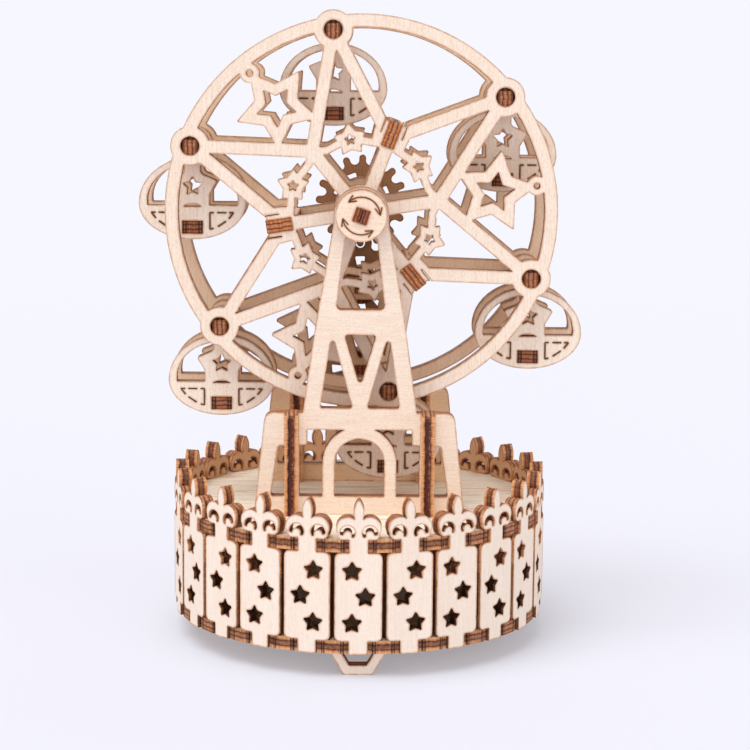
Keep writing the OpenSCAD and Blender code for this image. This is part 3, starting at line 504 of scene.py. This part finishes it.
def dress():
    """Gives every piece its plywood."""
    down, back, right, up = (0, 0, -1), (0, 1, 0), (1, 0, 0), (0, 0, 1)
    outlined = {"edge": EDGE_PALE, "core": 0.0, "outline": 1.0}

    # sheets that lie flat, with the better face up, whose tops are lightened with painted top light
    for node in ("base_disc", "deck_disc"):
        sheet_material(node, down, right, DISC_TOP_PAINTED_LIGHT, TAN, figure=DISC_FIGURE,
                       marks=tongue_marks, core=DISC_CORE)

    # slats and feet stand in rings
    foot_r = -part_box("foot_front")[0].y
    for node in nodes:
        if node.startswith("slats_"):
            ring_material(node, SLAT_PITCH, SLAT_RING_R * MM, PALE_SLAT, SLAT_BACK_TAN_AND_SHADE, holes=True)
        if node.startswith("foot_"):
            ring_material(node, FOOT_PITCH, foot_r, PALE_SLAT, TAN)

    # sheets that stand across the wheel axle
    sheet_material("front_tower", back, right, PALE, TAN, core=0.0, outline=TOWER_OUTLINE)
    sheet_material("rear_tower", back, right, TAN_TOWER, PALE)
    sheet_material("wheel_front_plate", back, up, PALE, TAN, **outlined)
    sheet_material("wheel_rear_plate", back, up, TAN, PALE, **outlined)
    sheet_material("knob", back, right, PALE_KNOB, TAN, **outlined)
    for node in ("front_washer", "rear_washer", "gear_washer", "axle_caps"):
        sheet_material(node, back, up, TAN, TAN)
    for node in ("wheel_gear", "middle_gear", "lower_gear"):
        sheet_material(node, back, up, GEAR_TAN_AND_SHADE, TAN)

    # gondolas
    for k in range(1, BOSS_COUNT + 1):
        sheet_material(f"gondola_{k}_front", back, up, PALE_SIDE, TAN, **outlined)
        sheet_material(f"gondola_{k}_rear", back, up, TAN, PALE_SIDE, **outlined)
        sheet_material(f"gondola_{k}_seat", down, back, PALE, TAN, edge=EDGE_BURNT_AND_SHADED,
                       marks=tenon_marks)
        sheet_material(f"gondola_{k}_pin", right, back, TAN, TAN, edge=EDGE_PIN, marks=pin_marks)

    # gussets, spacers and rods
    for side in ("left", "right"):
        for end in ("front", "rear"):
            sheet_material(f"gusset_{end}_{side}", right, up, PALE, TAN, core=GUSSET_CORE)
    for k in range(SPACER_COUNT):
        turn = math.radians(BOSS_TURN + 180 / BOSS_COUNT + 360 / SPACER_COUNT * k)
        across = (-math.sin(turn), 0, math.cos(turn))
        sheet_material(f"wheel_spacer_{k + 1}", across, back, PALE, TAN, edge=EDGE_SPACER)
    rod = math.radians(ROD_TURN)
    sheet_material("wheel_axle", (math.cos(rod), 0, math.sin(rod)), back, TAN, TAN,
                   edge=EDGE_AXLE, marks=slit_painted_shade)
    for node in ("middle_axle", "lower_axle"):
        sheet_material(node, right, back, TAN, TAN, edge=EDGE_BURNT_AND_SHADED)


def make_floor():
    """A pale floor that keeps the shadow and turns into the backdrop further out."""
    mesh = bpy.data.meshes.new("floor")
    corners = ((-1, -1), (1, -1), (1, 1), (-1, 1))
    mesh.from_pydata([(x * FLOOR_REACH, y * FLOOR_REACH, 0) for x, y in corners],
                     [], [(0, 1, 2, 3)])
    floor = bpy.data.objects.new("floor", mesh)
    bpy.context.scene.collection.objects.link(floor)
    material, g, place, _ = start_material("floor")
    diffuse = g.node("ShaderNodeBsdfDiffuse")
    g.plug(diffuse.inputs["Color"], FLOOR)
    plain = g.node("ShaderNodeEmission")
    g.plug(plain.inputs["Color"], BACKDROP)
    share = g.span(g.vector("LENGTH", place), FADE_FROM, FADE_TO, SHADOW_LIFT, 1.0)
    both = g.node("ShaderNodeMixShader")
    g.plug(both.inputs[0], g.math("MULTIPLY", share, g.seen_directly()))
    g.plug(both.inputs[1], diffuse.outputs[0])
    g.plug(both.inputs[2], plain.outputs[0])
    g.surface(both.outputs[0])
    mesh.materials.append(material)


def make_world():
    """Soft light from all sides, with a plain pale background."""
    world = bpy.data.worlds.new("studio")
    bpy.context.scene.world = world
    world.use_nodes = True
    g = Graph(world.node_tree)
    light = g.node("ShaderNodeBackground")
    g.plug(light.inputs["Color"], AMBIENT)
    light.inputs["Strength"].default_value = AMBIENT_STRENGTH
    seen = g.node("ShaderNodeBackground")
    g.plug(seen.inputs["Color"], BACKDROP)
    both = g.node("ShaderNodeMixShader")
    g.plug(both.inputs[0], g.seen_directly())
    g.plug(both.inputs[1], light.outputs[0])
    g.plug(both.inputs[2], seen.outputs[0])
    g.surface(both.outputs[0], "ShaderNodeOutputWorld")


def sun(name, azimuth, elevation, strength, softness):
    """A soft light from far away; azimuth 0 is the viewer's side, positive to the right."""
    lamp = bpy.data.lights.new(name, "SUN")
    lamp.energy = strength
    lamp.color = SUNLIGHT
    lamp.angle = math.radians(softness)
    holder = bpy.data.objects.new(name, lamp)
    holder.rotation_euler = Euler((math.radians(90 - elevation), 0, math.radians(azimuth)))
    bpy.context.scene.collection.objects.link(holder)


def make_camera():
    """The camera, fitted to the photograph."""
    data = bpy.data.cameras.new("camera")
    data.sensor_width = SENSOR
    data.lens = LENS
    data.shift_x = SHIFT_X
    data.shift_y = SHIFT_Y
    camera = bpy.data.objects.new("camera", data)
    camera.location = CAMERA_PLACE
    tilt = Euler((math.radians(CAMERA_TILT), 0, 0)).to_matrix()
    roll = Euler((0, 0, math.radians(CAMERA_ROLL))).to_matrix()
    camera.rotation_euler = (tilt @ roll).to_euler()
    bpy.context.scene.collection.objects.link(camera)
    bpy.context.scene.camera = camera


dress()
make_floor()
make_world()
sun("key", azimuth=-48, elevation=68, strength=2.0, softness=45)
sun("front", azimuth=-4, elevation=14, strength=0.34, softness=30)
sun("left", azimuth=-58, elevation=18, strength=0.45, softness=60)
sun("right", azimuth=55, elevation=18, strength=0.72, softness=60)
sun("back", azimuth=165, elevation=30, strength=0.60, softness=90)
make_camera()
bpy.context.scene.view_settings.view_transform = "Standard"
